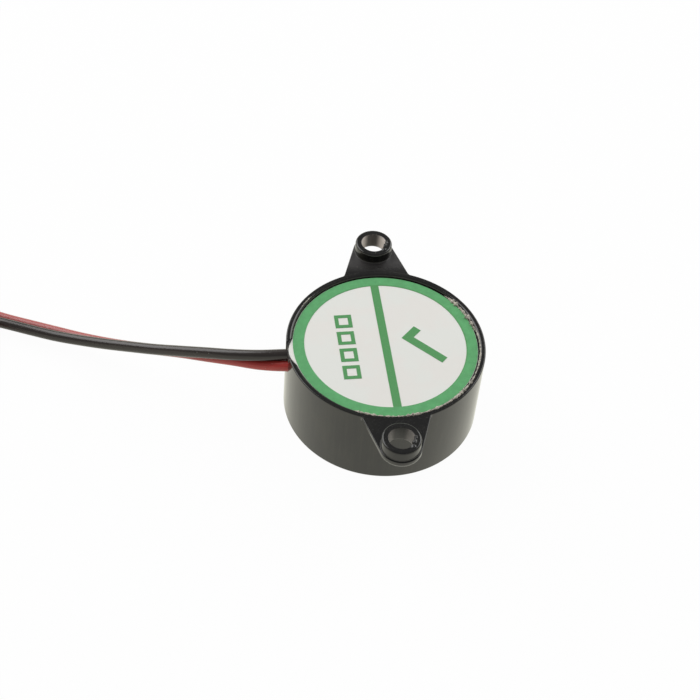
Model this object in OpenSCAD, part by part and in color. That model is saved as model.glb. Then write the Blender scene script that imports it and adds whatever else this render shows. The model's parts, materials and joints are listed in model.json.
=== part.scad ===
// Self-driven piezo buzzer with two mounting ears and a pair of flying leads.
// It rests on its sound face at z = 0. The ears lie along Y, and the leads leave on the -X side.

/* [Housing] */
// Outer diameter of the round body
body_d = 23; // [20:0.1:28]
// Thickness of the sound face
face_t = 1.2; // [0.8:0.1:2]
// Diameter of the sound hole in the middle of the sound face
sound_hole_d = 3; // [1.5:0.1:6]
// Depth of the sound chamber between the face and the diaphragm
chamber_h = 2; // [1:0.1:4]
// Width of the ledge under the diaphragm
ledge_w = 1.2; // [0.6:0.1:2]
// Wall of the rim around the label
rim_wall = 0.7; // [0.5:0.05:1.2]
// Width of the step under the circuit board
board_step = 0.5; // [0.3:0.05:1]
// Rounding of the outer edges at the rim and the sound face
edge_r = 0.3; // [0.1:0.05:0.45]

/* [Ears] */
// Distance from the side of the body to the middle of a mounting hole
ear_reach = 3.5; // [2.5:0.1:6]
// Diameter of the mounting holes
hole_d = 2.9; // [2:0.1:4]
// Wall of the raised boss around each hole
boss_wall = 0.75; // [0.4:0.05:1.2]
// Height of the bosses above the ears
boss_h = 1.3; // [0.4:0.1:3]
// Thickness of the ears
ear_t = 0.9; // [0.5:0.1:2]
// Margin of the ear around its boss
ear_margin = 0.2; // [0.1:0.05:1]
// Slant of an ear's flanks, in degrees
ear_slant = 18; // [6:1:24]
// Fillet between an ear's flanks and the body
ear_fillet_r = 0.6; // [0.2:0.1:1.5]

/* [Piezo element] */
// Thickness of the brass diaphragm
diaphragm_t = 0.25; // [0.15:0.05:0.5]
// Gap between the diaphragm's edge and the housing
diaphragm_clearance = 0.15; // [0.05:0.05:0.3]
// Width of the adhesive ring on the diaphragm's edge
adhesive_w = 0.7; // [0.4:0.05:1]
// Height of the adhesive ring
adhesive_h = 0.45; // [0.2:0.05:0.8]
// Width of bare brass between the adhesive and the ceramic disc
bare_brass_w = 2.45; // [1.8:0.05:3.5]
// Thickness of the ceramic disc
ceramic_t = 0.2; // [0.1:0.05:0.4]
// Thickness of the silver electrodes
electrode_t = 0.05; // [0.03:0.01:0.1]
// Bare edge of the ceramic disc around the electrodes
electrode_margin = 0.4; // [0.2:0.05:0.8]
// Width of the feedback electrode's tongue
tongue_w = 2.2; // [1.8:0.1:3]
// Length of the feedback electrode's tongue
tongue_l = 4; // [3:0.1:5]
// Gap between the two electrodes
electrode_gap = 0.4; // [0.2:0.05:0.8]

/* [Circuit board] */
// Room between the diaphragm's ledge and the board
component_room = 2.4; // [2:0.1:4]
// Thickness of the board
board_t = 0.8; // [0.4:0.1:1.6]
// Gap between the board's edge and the rim
board_clearance = 0.1; // [0.05:0.05:0.3]
// Thickness of the copper pads
pad_t = 0.05; // [0.03:0.01:0.1]
// Length of a chip resistor
chip_l = 2; // [1.6:0.1:2.4]
// Width of a chip resistor
chip_w = 1.25; // [0.8:0.05:1.6]
// Height of a chip resistor
chip_h = 0.5; // [0.3:0.05:0.7]
// Length of a chip resistor's end caps
chip_cap_l = 0.4; // [0.2:0.05:0.6]
// Length of the transistor's body
transistor_l = 2.9; // [2.4:0.1:3.2]
// Width of the transistor's body
transistor_w = 1.3; // [1:0.1:1.6]
// Height of the transistor's body
transistor_h = 0.95; // [0.7:0.05:1.1]
// Length of the diode's body
diode_l = 2.7; // [2:0.1:3.2]
// Width of the diode's body
diode_w = 1.6; // [1.2:0.1:2]
// Height of the diode's body
diode_h = 1; // [0.7:0.05:1.1]
// Distance from the board's edge to the middle of its parts
part_inset = 4.6; // [4.2:0.1:5]
// Width of the transistor's and the diode's legs
leg_w = 0.45; // [0.3:0.05:0.6]
// Thickness of those legs
leg_t = 0.15; // [0.1:0.01:0.2]
// How far those legs reach out past the body
leg_l = 0.6; // [0.4:0.05:0.8]
// Diameter of the thin wires between the board and the piezo element
hookup_d = 0.5; // [0.3:0.05:0.6]
// Level run of those wires
hookup_run = 3.6; // [2.4:0.1:4]
// Bend radius of those wires
hookup_bend_r = 0.5; // [0.4:0.05:0.6]
// Diameter of a soldered joint at its foot
joint_d = 1.4; // [1:0.1:1.6]
// Height of a soldered joint
joint_h = 0.4; // [0.2:0.05:0.45]

/* [Resin and label] */
// Depth of the potting resin over the board
resin_t = 3.55; // [3.4:0.05:6]
// How far the resin stays back from the body's side in the lead slot
resin_set_back = 0.1; // [0.05:0.05:0.3]
// Thickness of the label
label_t = 0.15; // [0.1:0.01:0.3]
// Gap between the label and the rim
label_clearance = 0.1; // [0.05:0.01:0.3]
// How far the rim stands above the label
label_recess = 0.3; // [0.1:0.05:0.6]
// How far the label runs out into the lead slot
label_tab = 0.5; // [0.1:0.05:0.6]
// Thickness of the label's ink
ink_t = 0.03; // [0.02:0.01:0.05]
// Bare edge of the label around the printed ring
ring_margin = 0.05; // [0.05:0.05:2]
// Width of the printed ring
ring_w = 1.3; // [0.6:0.05:2]
// Width of the printed bar across the ring
bar_w = 0.95; // [0.5:0.05:2]
// Turn of the print from the ears' line, in degrees
print_turn = 2.2; // [-20:0.1:20]
// Height of the printed tick
tick_h = 4.8; // [2:0.1:5.6]
// Stroke of the printed tick
tick_stroke = 1; // [0.4:0.05:1.2]
// Side of the small printed boxes
box_side = 2; // [1:0.1:2.4]
// Stroke of the small printed boxes
box_stroke = 0.45; // [0.2:0.05:0.45]
// Distance of the printed marks from the bar
mark_rise = 4.4; // [3.4:0.1:5]

/* [Leads] */
// Outer diameter of a lead
lead_d = 1.3; // [1:0.05:1.6]
// Gap between the two leads in the slot
pair_gap = 0.05; // [0.02:0.01:0.2]
// Slant of the line through both leads in the slot, in degrees from level
pair_slant = 50; // [40:1:80]
// Resin between the upper lead and the label
lead_cover = 0.05; // [0.05:0.05:0.4]
// How far the upper lead lies off the middle, towards the -Y ear
slot_offset = 0.45; // [0:0.05:2]
// Gap between a lead and the side of the slot
slot_clearance = 0.05; // [0.02:0.01:0.2]
// Rounding of the slot's mouth at the rim
mouth_r = 0.5; // [0.2:0.05:1.2]
// How far the slot widens on each side towards the label, above the resin
mouth_flare = 0.9; // [0.3:0.05:1.5]
// Length of each lead that the resin holds inside the rim
lead_hold = 2.4; // [1.5:0.1:3]
// Diameter of a lead's bare conductor
conductor_d = 0.6; // [0.4:0.05:0.8]
// Bare length of the lower lead inside the resin
inner_bare_l = 0.9; // [0.8:0.05:1.5]
// Distance between the two leads' joints on the board
joint_pitch = 1.9; // [1.8:0.1:2.5]
// Bare tinned length at each lead's free end
tip_l = 4; // [2:0.5:8]

/* [Stored coil] */
// Radius of the inner lead's turn in the stored coil
coil_r = 6.3; // [5.5:0.1:7]
// Gap between neighbouring leads in the coil
coil_gap = 0.05; // [0.02:0.01:0.1]
// Thickness of the band that ties the coil
tie_t = 0.3; // [0.2:0.05:0.5]
// Width of that band
tie_w = 1.6; // [1:0.1:3]

/* [Hidden] */
$fn = 64;

// Length by which a cutting solid runs past the solid it cuts
over = 1;

// Radii of the housing, from the outside in
body_r = body_d / 2;
rim_bore_r = body_r - rim_wall;
diaphragm_bore_r = rim_bore_r - board_step;
chamber_r = diaphragm_bore_r - ledge_w;

// Heights of the stack, from the sound face up
ledge_z = face_t + chamber_h;
board_z = ledge_z + component_room;
board_top = board_z + board_t;
label_z = board_top + resin_t;
label_top = label_z + label_t;
body_h = label_top + label_recess;

// Ears in plan: the +X flank is a line at flank_reach from the body's axis
hole_y = body_r + ear_reach;
boss_r = hole_d / 2 + boss_wall;
ear_end_r = boss_r + ear_margin;
flank_out = [cos(ear_slant), sin(ear_slant)];
flank_along = [-sin(ear_slant), cos(ear_slant)];
flank_reach = hole_y * sin(ear_slant) + ear_end_r;
fillet_reach = flank_reach + ear_fillet_r;
fillet_run = sqrt(pow(body_r + ear_fillet_r, 2) - pow(fillet_reach, 2));
fillet_centre = fillet_reach * flank_out + fillet_run * flank_along;
fillet_on_body = fillet_centre * body_r / (body_r + ear_fillet_r);
fillet_on_flank = fillet_centre - ear_fillet_r * flank_out;
flank_on_end = [0, hole_y] + ear_end_r * flank_out;

// Piezo element
diaphragm_r = diaphragm_bore_r - diaphragm_clearance;
diaphragm_top = ledge_z + diaphragm_t;
adhesive_in_r = diaphragm_r - adhesive_w;
ceramic_r = adhesive_in_r - bare_brass_w;
ceramic_top = diaphragm_top + ceramic_t;
electrode_r = ceramic_r - electrode_margin;
electrode_top = ceramic_top + electrode_t;

// Board parts, seen from above; they hang under the board, in a ring at the given angles
board_r = rim_bore_r - board_clearance;
part_ring_r = board_r - part_inset;
pad_z = board_z - pad_t;
pad_rim = 0.15;
resistor_places = [for (angle = [136, 90, -35]) on_part_ring(angle)];
transistor_place = on_part_ring(40);
diode_place = on_part_ring(236);
transistor_pitch = 0.95;
leg_drop = 0.3;

// Thin wires: turn of each from +X, its distance from the axis at the element and at the board,
// and the level of the element there
feedback_r = electrode_r - tongue_l / 2;
main_r = electrode_r / 2;
plate_r = ceramic_r + bare_brass_w / 2;
feedback_run = [0, feedback_r, feedback_r + hookup_run, electrode_top];
main_run = [195, main_r, main_r + hookup_run, electrode_top];
plate_run = [-60, plate_r, plate_r - hookup_run, diaphragm_top];
wire_runs = [feedback_run, main_run, plate_run];

// Label, pushed towards the slot's side of the rim, and its printed ring
label_r = rim_bore_r - label_clearance;
label_middle = 0.9 * label_clearance * [cos(225), sin(225)];
ring_r = label_r - ring_margin;

// Leads in the slot, as Y and Z: the red one lies under the black one, towards the -Y ear
slot_w = lead_d + 2 * slot_clearance;
black_place = [-slot_offset, label_z - lead_cover - lead_d / 2];
red_place = black_place - (lead_d + pair_gap) * [cos(pair_slant), sin(pair_slant)];
lead_places = [black_place, red_place];
low_side = red_place.x - slot_w / 2;
high_side = black_place.x + slot_w / 2;
lead_root_x = -(rim_bore_r - lead_hold);

// Joints of the leads on the board, as X and Y
red_joint = [lead_root_x + inner_bare_l, red_place.x];
black_joint = [red_joint.x + joint_pitch, black_place.x];
lead_joint_places = [black_joint, red_joint];
lead_pad_top = board_top + pad_t;

// Stored coil: two leads side by side and one turn on the other
coil_centre = [-54.5, 9.8];
coil_pitch = lead_d + coil_gap;
coil_in_r = coil_r - lead_d / 2 - coil_gap;
coil_out_r = coil_r + coil_pitch + lead_d / 2 + coil_gap;
coil_h = lead_d + coil_pitch + coil_gap;
tip_z = tie_t + coil_pitch + lead_d / 2;
tie_angle = 78;
red_tip_angle = 80;
black_tip_angle = 115;

// Routes of the leads outside the housing, down to the standing surface and on to the coil
cord_sides = 8;
black_route = [
    [-14.5, -0.25, 9], [-17.5, 0.45, 8.45], [-20.5, 1.6, 7.6], [-23.5, 2.95, 6.5], [-26.5, 4.45, 5.25],
    [-29.5, 6.05, 4.05], [-32.5, 7.55, 3], [-35.5, 8.95, 2.2], [-38.5, 10.25, 1.65], [-41.5, 11.55, 1.38],
    [-44.5, 12.75, 1.3], [-47.5, 13.95, 1.15], [-50.5, 15.05, 0.95]
];
red_route = [
    [-14.5, -0.35, 7.55], [-17.5, 0.85, 7.05], [-20.5, 2.25, 6.25], [-23.5, 3.9, 5.2], [-26.5, 5.55, 4],
    [-29.5, 7.15, 2.85], [-32.5, 8.7, 1.95], [-35.5, 10.2, 1.3], [-38.5, 11.6, 0.96], [-41.5, 12.9, 0.75],
    [-44.5, 14.1, 0.67], [-47.5, 15.35, 0.75], [-50.5, 16.5, 0.95]
];

function unit(v) = v / norm(v);

// Middle of a board part at an angle from +X
function on_part_ring(angle) = part_ring_r * [cos(angle), sin(angle)];

// Direction of a route at one of its points
function heading(route, i) = unit(route[min(i + 1, len(route) - 1)] - route[max(i - 1, 0)]);

// Corners of a lead's section at one point of its route
function section_ring(route, i) =
    let (
        ahead = heading(route, i),
        side = unit(cross(ahead, [0, 0, 1])),
        up = cross(side, ahead)
    )
    [for (k = [0 : cord_sides - 1])
        let (a = 360 * k / cord_sides)
        route[i] + lead_d / 2 * (cos(a) * side + sin(a) * up)];

// Tube of a lead along its route
module lead_tube(route) {
    n = cord_sides;
    last = (len(route) - 1) * n;
    corners = [for (i = [0 : len(route) - 1]) each section_ring(route, i)];
    sides = [
        for (i = [0 : len(route) - 2], k = [0 : n - 1])
            let (a = i * n + k, b = i * n + (k + 1) % n)
            each [[a, b, b + n], [a, b + n, a + n]]
    ];
    ends = [[for (k = [n - 1 : -1 : 0]) k], [for (k = [0 : n - 1]) last + k]];
    polyhedron(corners, concat(sides, ends));
}

// Straight start of a lead in the resin and the slot, then its free route
function lead_path(place, route) =
    concat([for (x = [lead_root_x, -body_r]) [x, place.x, place.y]], route);

// Rod along X from one end to the other
module rod_x(x0, x1, y, z, d) {
    translate([x0, y, z]) rotate([0, 90, 0]) cylinder(h = x1 - x0, d = d);
}

// Section of the cup, turned about the body's axis
module cup_section() {
    difference() {
        union() {
            square([body_r - edge_r, body_h]);
            translate([0, edge_r]) square([body_r, body_h - 2 * edge_r]);
            translate([body_r - edge_r, edge_r]) circle(edge_r);
            translate([body_r - edge_r, body_h - edge_r]) circle(edge_r);
        }
        translate([0, -over]) square([sound_hole_d / 2, face_t + 2 * over]);
        translate([0, face_t]) square([chamber_r, body_h]);
        translate([0, ledge_z]) square([diaphragm_bore_r, body_h]);
        translate([0, board_z]) square([rim_bore_r, body_h]);
    }
}

// Plan of the +Y ear: a tapered plate that ends round the hole, filleted into the body
module ear_plan() {
    flip = [[-1, 0], [0, 1]];
    right = [flank_on_end, fillet_on_flank, fillet_on_body];
    difference() {
        union() {
            polygon(concat(right, [for (i = [2 : -1 : 0]) flip * right[i]]));
            translate([0, hole_y]) circle(ear_end_r);
        }
        for (side = [0, 1]) mirror([side, 0]) translate(fillet_centre) circle(ear_fillet_r);
        circle(body_r - rim_wall / 2);
    }
}

// Slot for the leads, open at the rim, with a rounded mouth
module slot_outline() {
    for (place = lead_places) {
        translate(place) circle(d = slot_w);
        translate([place.x - slot_w / 2, place.y]) square([slot_w, body_h - place.y + over]);
    }
    difference() {
        translate([low_side - mouth_r, body_h - mouth_r])
            square([high_side - low_side + 2 * mouth_r, mouth_r + over]);
        for (y = [low_side - mouth_r, high_side + mouth_r])
            translate([y, body_h - mouth_r]) circle(mouth_r);
    }
}

module slot_cut() {
    translate([-body_r - over, 0, 0])
        rotate([90, 0, 90]) linear_extrude(rim_wall + 2 * over) slot_outline();
}

// Widening of the slot towards the label, down to the resin
module slot_flare() {
    inner_x = over - rim_bore_r;
    widened = mouth_flare * (rim_wall + over) / rim_wall;
    translate([0, 0, label_z]) linear_extrude(body_h - label_z + over) polygon([
        [-body_r, low_side], [inner_x, low_side - widened],
        [inner_x, high_side + widened], [-body_r, high_side]
    ]);
}

module housing() {
    color("#1b1b1b") difference() {
        union() {
            rotate_extrude() cup_section();
            for (turn = [0, 180]) rotate(turn) {
                translate([0, 0, body_h - ear_t]) linear_extrude(ear_t) ear_plan();
                translate([0, hole_y, body_h - ear_t]) cylinder(r = boss_r, h = ear_t + boss_h);
            }
        }
        for (side = [-1, 1]) translate([0, side * hole_y, body_h - ear_t - over])
            cylinder(d = hole_d, h = ear_t + boss_h + 2 * over);
        slot_cut();
        slot_flare();
    }
}

module brass_diaphragm() {
    color("#c9a24a") translate([0, 0, ledge_z]) cylinder(r = diaphragm_r, h = diaphragm_t);
}

module ceramic_disc() {
    color("#d8d2bf") translate([0, 0, diaphragm_top]) cylinder(r = ceramic_r, h = ceramic_t);
}

// Strip along +X that reaches the electrodes' edge
module tongue_strip(grow) {
    translate([electrode_r - tongue_l - grow, -tongue_w / 2 - grow])
        square([tongue_l + grow + over, tongue_w + 2 * grow]);
}

module main_electrode() {
    color("#d5d6d8") translate([0, 0, ceramic_top]) linear_extrude(electrode_t) difference() {
        circle(electrode_r);
        tongue_strip(electrode_gap);
    }
}

module feedback_electrode() {
    color("#d5d6d8") translate([0, 0, ceramic_top]) linear_extrude(electrode_t) intersection() {
        circle(electrode_r);
        tongue_strip(0);
    }
}

module diaphragm_adhesive() {
    color("#e9e7e0") translate([0, 0, diaphragm_top]) linear_extrude(adhesive_h) difference() {
        circle(diaphragm_bore_r);
        circle(adhesive_in_r);
    }
}

module circuit_board() {
    color("#8a6a35") translate([0, 0, board_z]) cylinder(r = board_r, h = board_t);
}

// Copper pad under the board
module pad(size) {
    translate([-size.x / 2, -size.y / 2, pad_z]) cube([size.x, size.y, pad_t]);
}

// Feet of the transistor's legs in plan: two on one side and one on the other
transistor_feet = [
    [-transistor_pitch, -1], [transistor_pitch, -1], [0, 1]
];

module component_pads() {
    foot = [leg_w + 2 * pad_rim, leg_l + pad_rim];
    color("#b8763a") {
        for (place = resistor_places, side = [-1, 1])
            translate([place.x + side * (chip_l - chip_cap_l) / 2, place.y, 0])
                pad([chip_cap_l + 2 * pad_rim, chip_w + 2 * pad_rim]);
        for (leg = transistor_feet)
            translate([transistor_place.x + leg.x,
                       transistor_place.y + leg.y * (transistor_w + foot.y) / 2, 0])
                pad(foot);
        for (side = [-1, 1])
            translate([diode_place.x + side * (diode_l + foot.y) / 2, diode_place.y, 0])
                pad([foot.y, foot.x]);
    }
}

module wire_pads() {
    color("#b8763a") for (run = wire_runs)
        rotate(run[0]) translate([run[2], 0, pad_z])
            cylinder(d = joint_d + 2 * pad_rim, h = pad_t);
}

module lead_pads() {
    color("#b8763a") for (joint = lead_joint_places)
        translate([joint.x, joint.y, board_top]) cylinder(d = joint_d + 2 * pad_rim, h = pad_t);
}

// Box that hangs under the pads, centred in plan, with its top at the given level
module hung_box(size, top) {
    translate([-size.x / 2, -size.y / 2, top - size.z]) cube(size);
}

module transistor_body() {
    color("#222222") translate(transistor_place)
        hung_box([transistor_l, transistor_w, transistor_h], pad_z);
}

// Bent leg: it leaves the body's end face a little way down and turns up to its pad
module leg() {
    translate([0, -leg_w / 2, pad_z - leg_drop - leg_t]) cube([leg_t * 2, leg_w, leg_t]);
    translate([leg_t, -leg_w / 2, pad_z - leg_drop - leg_t]) cube([leg_t, leg_w, leg_drop + leg_t]);
    translate([leg_t, -leg_w / 2, pad_z - leg_t]) cube([leg_l - leg_t, leg_w, leg_t]);
}

module transistor_legs() {
    color("#c8c8c8") translate(transistor_place) for (foot = transistor_feet)
        translate([foot.x, foot.y * transistor_w / 2, 0]) rotate(90 * foot.y) leg();
}

module resistor_chips() {
    color("#1d1d20") for (place = resistor_places)
        translate(place) hung_box([chip_l - 2 * chip_cap_l, chip_w, chip_h], pad_z);
}

module resistor_end_caps() {
    color("#cfcfcf") for (place = resistor_places, side = [-1, 1])
        translate([place.x + side * (chip_l - chip_cap_l) / 2, place.y])
            hung_box([chip_cap_l, chip_w, chip_h], pad_z);
}

module diode_body() {
    color("#262626") translate(diode_place) hung_box([diode_l, diode_w, diode_h], pad_z);
}

module diode_legs() {
    color("#c8c8c8") translate(diode_place) for (turn = [0, 180])
        rotate(turn) translate([diode_l / 2, 0, 0]) leg();
}

// Quarter bend in the XZ plane: it starts upright at the origin and ends level towards +X
module quarter_bend() {
    translate([hookup_bend_r, 0, 0]) rotate([90, 0, 0]) rotate(90)
        rotate_extrude(angle = 90) translate([hookup_bend_r, 0]) circle(d = hookup_d);
}

// Thin wire: up from the element, level along the run and up to the board's pad
module hookup_wire(run) {
    step = run[2] > run[1] ? 0 : 1;
    span = abs(run[2] - run[1]);
    level_z = (run[3] + pad_z) / 2;
    rise = level_z - hookup_bend_r;
    rotate(run[0]) translate([run[1], 0, 0]) mirror([step, 0, 0]) {
        translate([0, 0, run[3]]) cylinder(d = hookup_d, h = rise - run[3]);
        translate([0, 0, rise]) quarter_bend();
        rod_x(hookup_bend_r, span - hookup_bend_r, 0, level_z, hookup_d);
        translate([span, 0, 2 * level_z - rise]) rotate([0, 180, 0]) quarter_bend();
        translate([span, 0, 2 * level_z - rise]) cylinder(d = hookup_d, h = pad_z + rise - 2 * level_z);
    }
}

module plate_wire() {
    color("#9b2a25") hookup_wire(plate_run);
}

module main_wire() {
    color("#2a2a2a") hookup_wire(main_run);
}

module feedback_wire() {
    color("#2e5fa8") hookup_wire(feedback_run);
}

// Soldered cone around an upright wire
module solder_cone(wire_d) {
    difference() {
        cylinder(d1 = joint_d, d2 = wire_d + pad_rim, h = joint_h);
        translate([0, 0, -over]) cylinder(d = wire_d, h = joint_h + 2 * over);
    }
}

module board_wire_joints() {
    color("#b9bcc0") for (run = wire_runs)
        rotate(run[0]) translate([run[2], 0, pad_z]) mirror([0, 0, 1]) solder_cone(hookup_d);
}

module piezo_wire_joints() {
    color("#b9bcc0") for (run = wire_runs)
        rotate(run[0]) translate([run[1], 0, run[3]]) solder_cone(hookup_d);
}

module lead_joints() {
    color("#b9bcc0") for (joint = lead_joint_places)
        translate([joint.x, joint.y, lead_pad_top]) solder_cone(conductor_d);
}

// Bare end of a lead in the resin: level out of the insulation, then down to its pad
module inner_end(joint, z) {
    rod_x(lead_root_x, joint.x, joint.y, z, conductor_d);
    translate([joint.x, joint.y, z]) sphere(d = conductor_d);
    translate([joint.x, joint.y, lead_pad_top]) cylinder(d = conductor_d, h = z - lead_pad_top);
}

module lead_inner_ends() {
    color("#c9c4b4") {
        inner_end(black_joint, black_place.y);
        inner_end(red_joint, red_place.y);
    }
}

module potting_resin() {
    color("#2b2a28") difference() {
        union() {
            translate([0, 0, board_top]) cylinder(r = rim_bore_r, h = resin_t);
            intersection() {
                slot_cut();
                translate([0, 0, board_top]) cylinder(r = body_r - resin_set_back, h = resin_t);
            }
        }
        for (place = lead_places) rod_x(-body_r - over, lead_root_x, place.x, place.y, lead_d);
        lead_inner_ends();
        for (joint = lead_joint_places) translate([joint.x, joint.y, lead_pad_top])
            cylinder(d1 = joint_d, d2 = conductor_d + pad_rim, h = joint_h);
        lead_pads();
    }
}

module label_sheet() {
    color("#e6e1dd") {
        translate([label_middle.x, label_middle.y, label_z]) cylinder(r = label_r, h = label_t);
        intersection() {
            union() {
                slot_cut();
                slot_flare();
            }
            translate([label_middle.x, label_middle.y, label_z])
                cylinder(r = label_r + label_tab, h = label_t);
        }
    }
}

// Tick with square ends, drawn about its own middle
module tick() {
    reach = tick_stroke * sqrt(2);
    foot = tick_h / 2 - reach / 2;
    translate([-foot / 2, -tick_h / 2]) polygon([
        [0, 0], [tick_h - reach / 2, tick_h - reach / 2], [tick_h - reach, tick_h],
        [0, reach], [reach / 2 - foot, foot + reach / 2], [-foot, foot]
    ]);
}

module tick_box() {
    difference() {
        square(box_side, center = true);
        square(box_side - 2 * box_stroke, center = true);
    }
}

// Ring with a bar across it, a tick on one side and a row of small boxes on the other
module label_print() {
    box_pitch = 2.6;
    color("#58a868") translate([label_middle.x, label_middle.y, label_top]) rotate(print_turn - 90)
        linear_extrude(ink_t) {
            difference() {
                circle(ring_r);
                circle(ring_r - ring_w);
            }
            square([2 * ring_r - ring_w, bar_w], center = true);
            translate([0, mark_rise]) tick();
            for (i = [-1.5 : 1 : 1.5]) translate([i * box_pitch, -mark_rise]) tick_box();
        }
}

// Solid ring that holds the coiled length of both leads
module coil_ring() {
    translate([coil_centre.x, coil_centre.y, tie_t]) linear_extrude(coil_h) difference() {
        circle(coil_out_r);
        circle(coil_in_r);
    }
}

module black_lead() {
    color("#2b2b2b") difference() {
        lead_tube(lead_path(black_place, black_route));
        coil_ring();
    }
}

module red_lead() {
    color("#a32d26") difference() {
        lead_tube(lead_path(red_place, red_route));
        coil_ring();
    }
}

module lead_coil() {
    color("#3a2323") coil_ring();
}

module coil_tie() {
    color("#e2e2de") difference() {
        translate([coil_centre.x, coil_centre.y, 0]) rotate(tie_angle)
            translate([coil_in_r - tie_t, -tie_w / 2, 0])
                cube([coil_out_r - coil_in_r + 2 * tie_t, tie_w, coil_h + 2 * tie_t]);
        coil_ring();
    }
}

// Tinned tip that leaves the coil straight ahead from a turn of the given radius
module lead_tip(turn_r, angle) {
    inside = sqrt(pow(coil_out_r, 2) - pow(turn_r, 2));
    color("#c9c4b4") difference() {
        translate([coil_centre.x, coil_centre.y, 0]) rotate(angle)
            translate([turn_r, 0, tip_z]) rotate([-90, 0, 0])
                cylinder(d = conductor_d, h = inside + tip_l);
        coil_ring();
    }
}

module black_lead_tip() {
    lead_tip(coil_r, black_tip_angle);
}

module red_lead_tip() {
    lead_tip(coil_r + coil_pitch, red_tip_angle);
}

housing();
brass_diaphragm();
ceramic_disc();
main_electrode();
feedback_electrode();
diaphragm_adhesive();
circuit_board();
component_pads();
wire_pads();
lead_pads();
transistor_body();
transistor_legs();
resistor_chips();
resistor_end_caps();
diode_body();
diode_legs();
plate_wire();
main_wire();
feedback_wire();
board_wire_joints();
piezo_wire_joints();
lead_joints();
lead_inner_ends();
potting_resin();
label_sheet();
label_print();
black_lead();
red_lead();
lead_coil();
coil_tie();
black_lead_tip();
red_lead_tip();
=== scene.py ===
"""Looks of a piezo buzzer with two mounting ears and a pair of flying leads, around its solid model."""

import json
import math

import bmesh
import bpy
from bpy.props import FloatProperty, FloatVectorProperty, IntProperty, PointerProperty
from mathutils import Matrix, Vector, noise


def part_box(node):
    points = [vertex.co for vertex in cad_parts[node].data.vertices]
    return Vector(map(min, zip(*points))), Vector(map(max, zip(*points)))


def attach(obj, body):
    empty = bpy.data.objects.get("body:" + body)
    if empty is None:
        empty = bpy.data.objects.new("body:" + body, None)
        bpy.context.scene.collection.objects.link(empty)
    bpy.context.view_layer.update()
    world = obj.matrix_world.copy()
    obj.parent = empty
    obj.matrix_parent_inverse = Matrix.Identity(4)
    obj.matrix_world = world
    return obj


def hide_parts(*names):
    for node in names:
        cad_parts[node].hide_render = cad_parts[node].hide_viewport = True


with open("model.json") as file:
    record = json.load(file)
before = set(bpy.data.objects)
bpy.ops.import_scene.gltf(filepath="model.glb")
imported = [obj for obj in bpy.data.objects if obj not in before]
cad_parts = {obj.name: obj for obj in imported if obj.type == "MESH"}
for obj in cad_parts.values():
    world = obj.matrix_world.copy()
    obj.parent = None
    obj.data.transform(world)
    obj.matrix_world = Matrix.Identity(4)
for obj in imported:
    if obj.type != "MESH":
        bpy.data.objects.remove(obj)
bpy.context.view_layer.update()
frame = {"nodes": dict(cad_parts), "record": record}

bl_info = {
    "name": "Piezo Buzzer",
    "version": (1, 0, 0),
    "blender": (4, 5, 0),
    "location": "View3D > Sidebar > Buzzer",
    "description": "Builds the looks of a small piezo buzzer around its solid model",
    "category": "Add Mesh",
}

MM = 0.001
BODY = "root"

# Sizes that the solid model gives
EAR_HOLES = next(m for m in frame["record"]["mounts"] if m["name"] == "ear_holes")
HOLE_Y = EAR_HOLES["dims"]["spacing_y_mm"] / 2 * MM
HOLE_R = EAR_HOLES["dims"]["hole_r_mm"] * MM
BODY_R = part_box("housing")[1].x
BOSS_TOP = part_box("housing")[1].z
EAR_TIP_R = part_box("housing")[1].y - HOLE_Y
RIM_BORE_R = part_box("potting_resin")[1].y
BOARD_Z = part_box("circuit_board")[0].z
DIAPHRAGM_BORE_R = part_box("diaphragm_adhesive")[1].x
LEDGE_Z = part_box("brass_diaphragm")[0].z
LABEL_Z, LABEL_TOP = (corner.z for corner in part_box("label_sheet"))
LABEL_LOW, LABEL_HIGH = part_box("label_sheet")
LABEL_R = (LABEL_HIGH.y - LABEL_LOW.y) / 2
LABEL_MIDDLE = Vector((LABEL_HIGH.x - LABEL_R, (LABEL_HIGH.y + LABEL_LOW.y) / 2, 0))
INK_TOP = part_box("label_print")[1].z
COIL_LOW, COIL_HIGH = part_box("lead_coil")
COIL_MIDDLE = (COIL_LOW + COIL_HIGH) / 2

# Routes of the leads outside the housing, in millimetres
BLACK_ROUTE = (
    (-14.5, -0.25, 9), (-17.5, 0.45, 8.45), (-20.5, 1.6, 7.6), (-23.5, 2.95, 6.5), (-26.5, 4.45, 5.25),
    (-29.5, 6.05, 4.05), (-32.5, 7.55, 3), (-35.5, 8.95, 2.2), (-38.5, 10.25, 1.65), (-41.5, 11.55, 1.38),
    (-44.5, 12.75, 1.3), (-47.5, 13.95, 1.15), (-50.5, 15.05, 0.95),
)
RED_ROUTE = (
    (-14.5, -0.35, 7.55), (-17.5, 0.85, 7.05), (-20.5, 2.25, 6.25), (-23.5, 3.9, 5.2), (-26.5, 5.55, 4),
    (-29.5, 7.15, 2.85), (-32.5, 8.7, 1.95), (-35.5, 10.2, 1.3), (-38.5, 11.6, 0.96), (-41.5, 12.9, 0.75),
    (-44.5, 14.1, 0.67), (-47.5, 15.35, 0.75), (-50.5, 16.5, 0.95),
)


# Settings that a user would change

def length(name, description, default):
    """A length in metres."""
    return FloatProperty(
        name=name, description=description, default=default, precision=6, subtype="DISTANCE", unit="LENGTH"
    )


def angle(name, description, degrees):
    """An angle, given in degrees."""
    return FloatProperty(
        name=name, description=description, default=math.radians(degrees), subtype="ANGLE", unit="ROTATION"
    )


def colour(name, description, default):
    """A colour, as linear red, green and blue."""
    return FloatVectorProperty(
        name=name, description=description, default=default, size=3, min=0.0, max=1.0, subtype="COLOR"
    )


def factor(name, description, default):
    """A plain number."""
    return FloatProperty(name=name, description=description, default=default, min=0.0, subtype="FACTOR")


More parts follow.
